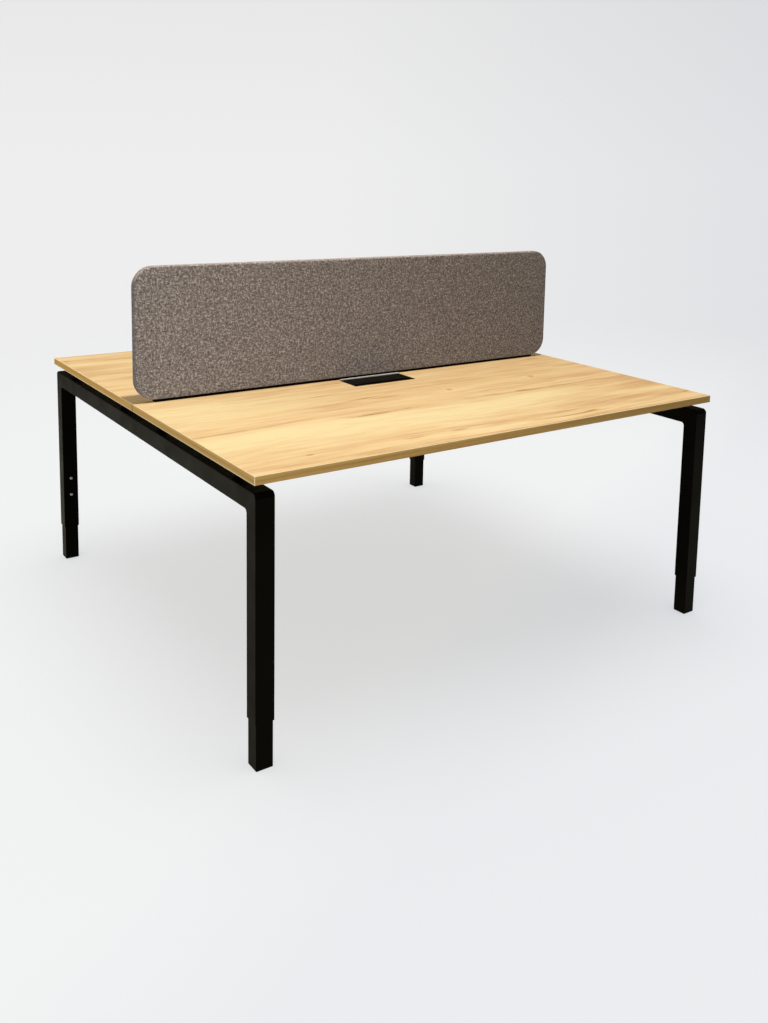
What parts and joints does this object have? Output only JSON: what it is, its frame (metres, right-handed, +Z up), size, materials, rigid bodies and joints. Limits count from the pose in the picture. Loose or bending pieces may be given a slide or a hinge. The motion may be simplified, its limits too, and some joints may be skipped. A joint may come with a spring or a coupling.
{
  "type": "benching desk for two",
  "caption": "Shared bench desk: two oak decor desktops on a black square tube frame with telescopic legs, a padded fabric screen between the users and flip lid cable ports.",
  "frame": {"origin": "on the floor under the middle of the desk", "axes": "+X along the screen, +Y away from the front user, +Z up"},
  "size_m": [1.6, 1.6, 1.131],
  "materials": {
    "oak_board": "oak decor on board, matt, long grain along the desk",
    "oak_edging": "oak decor edging strip, matt",
    "black_steel": "black powder coat, satin",
    "zinc_steel": "bright zinc plated",
    "brass_insert": "plain turned",
    "black_plastic": "black moulded",
    "port_plastic": "dark grey moulded, matt",
    "screen_fabric": "taupe melange weave over foam",
    "core_board": "raw board"
  },
  "bodies": {
    "desk_frame": {"desktop_front": "oak_board", "desktop_rear": "oak_board", "desktop_front_edging": "oak_edging", "desktop_rear_edging": "oak_edging", "side_rail_left": "black_steel", "side_rail_right": "black_steel", "long_beam_front": "black_steel", "long_beam_rear": "black_steel", "beam_end_plates": "black_steel", "clamp_bushes": "black_steel", "screen_base_strip": "black_steel", "screen_bracket_left": "black_steel", "screen_bracket_right": "black_steel", "outer_leg_front_left": "black_steel", "outer_leg_front_right": "black_steel", "outer_leg_rear_left": "black_steel", "outer_leg_rear_right": "black_steel", "clamp_screws": "zinc_steel", "beam_bolts": "zinc_steel", "beam_rivet_nuts": "zinc_steel", "desktop_screws": "zinc_steel", "bracket_screws": "zinc_steel", "port_pin_front": "zinc_steel", "port_pin_rear": "zinc_steel", "port_trim_front": "zinc_steel", "port_trim_rear": "zinc_steel", "desktop_inserts": "brass_insert", "desktop_spacers": "black_plastic", "port_frame_front": "port_plastic", "port_frame_rear": "port_plastic", "screen_pad_front": "screen_fabric", "screen_pad_rear": "screen_fabric", "screen_core": "core_board"},
    "leg_front_left": {"inner_leg_front_left": "black_steel", "leg_plug_front_left": "black_plastic"},
    "foot_front_left": {"foot_pad_front_left": "black_plastic", "foot_stud_front_left": "zinc_steel"},
    "leg_front_right": {"inner_leg_front_right": "black_steel", "leg_plug_front_right": "black_plastic"},
    "foot_front_right": {"foot_pad_front_right": "black_plastic", "foot_stud_front_right": "zinc_steel"},
    "leg_rear_left": {"inner_leg_rear_left": "black_steel", "leg_plug_rear_left": "black_plastic"},
    "foot_rear_left": {"foot_pad_rear_left": "black_plastic", "foot_stud_rear_left": "zinc_steel"},
    "leg_rear_right": {"inner_leg_rear_right": "black_steel", "leg_plug_rear_right": "black_plastic"},
    "foot_rear_right": {"foot_pad_rear_right": "black_plastic", "foot_stud_rear_right": "zinc_steel"},
    "lid_front": {"port_lid_front": "port_plastic"},
    "lid_rear": {"port_lid_rear": "port_plastic"}
  },
  "joints": [
    {"name": "leg_height_front_left", "type": "slide", "parent": "desk_frame", "child": "leg_front_left", "axis": [0, 0, -1], "range_m": [-0.08, 0.12]},
    {"name": "foot_level_front_left", "type": "slide", "parent": "leg_front_left", "child": "foot_front_left", "axis": [0, 0, -1], "range_m": [0, 0.012]},
    {"name": "leg_height_front_right", "type": "slide", "parent": "desk_frame", "child": "leg_front_right", "axis": [0, 0, -1], "range_m": [-0.08, 0.12]},
    {"name": "foot_level_front_right", "type": "slide", "parent": "leg_front_right", "child": "foot_front_right", "axis": [0, 0, -1], "range_m": [0, 0.012]},
    {"name": "leg_height_rear_left", "type": "slide", "parent": "desk_frame", "child": "leg_rear_left", "axis": [0, 0, -1], "range_m": [-0.08, 0.12]},
    {"name": "foot_level_rear_left", "type": "slide", "parent": "leg_rear_left", "child": "foot_rear_left", "axis": [0, 0, -1], "range_m": [0, 0.012]},
    {"name": "leg_height_rear_right", "type": "slide", "parent": "desk_frame", "child": "leg_rear_right", "axis": [0, 0, -1], "range_m": [-0.08, 0.12]},
    {"name": "foot_level_rear_right", "type": "slide", "parent": "leg_rear_right", "child": "foot_rear_right", "axis": [0, 0, -1], "range_m": [0, 0.012]},
    {"name": "lid_hinge_front", "type": "hinge", "parent": "desk_frame", "child": "lid_front", "pos_m": [0, -0.0348, 0.7285], "axis": [-1, 0, 0], "range_deg": [0, 90]},
    {"name": "lid_hinge_rear", "type": "hinge", "parent": "desk_frame", "child": "lid_rear", "pos_m": [0, 0.0348, 0.7285], "axis": [1, 0, 0], "range_deg": [0, 90]}
  ]
}
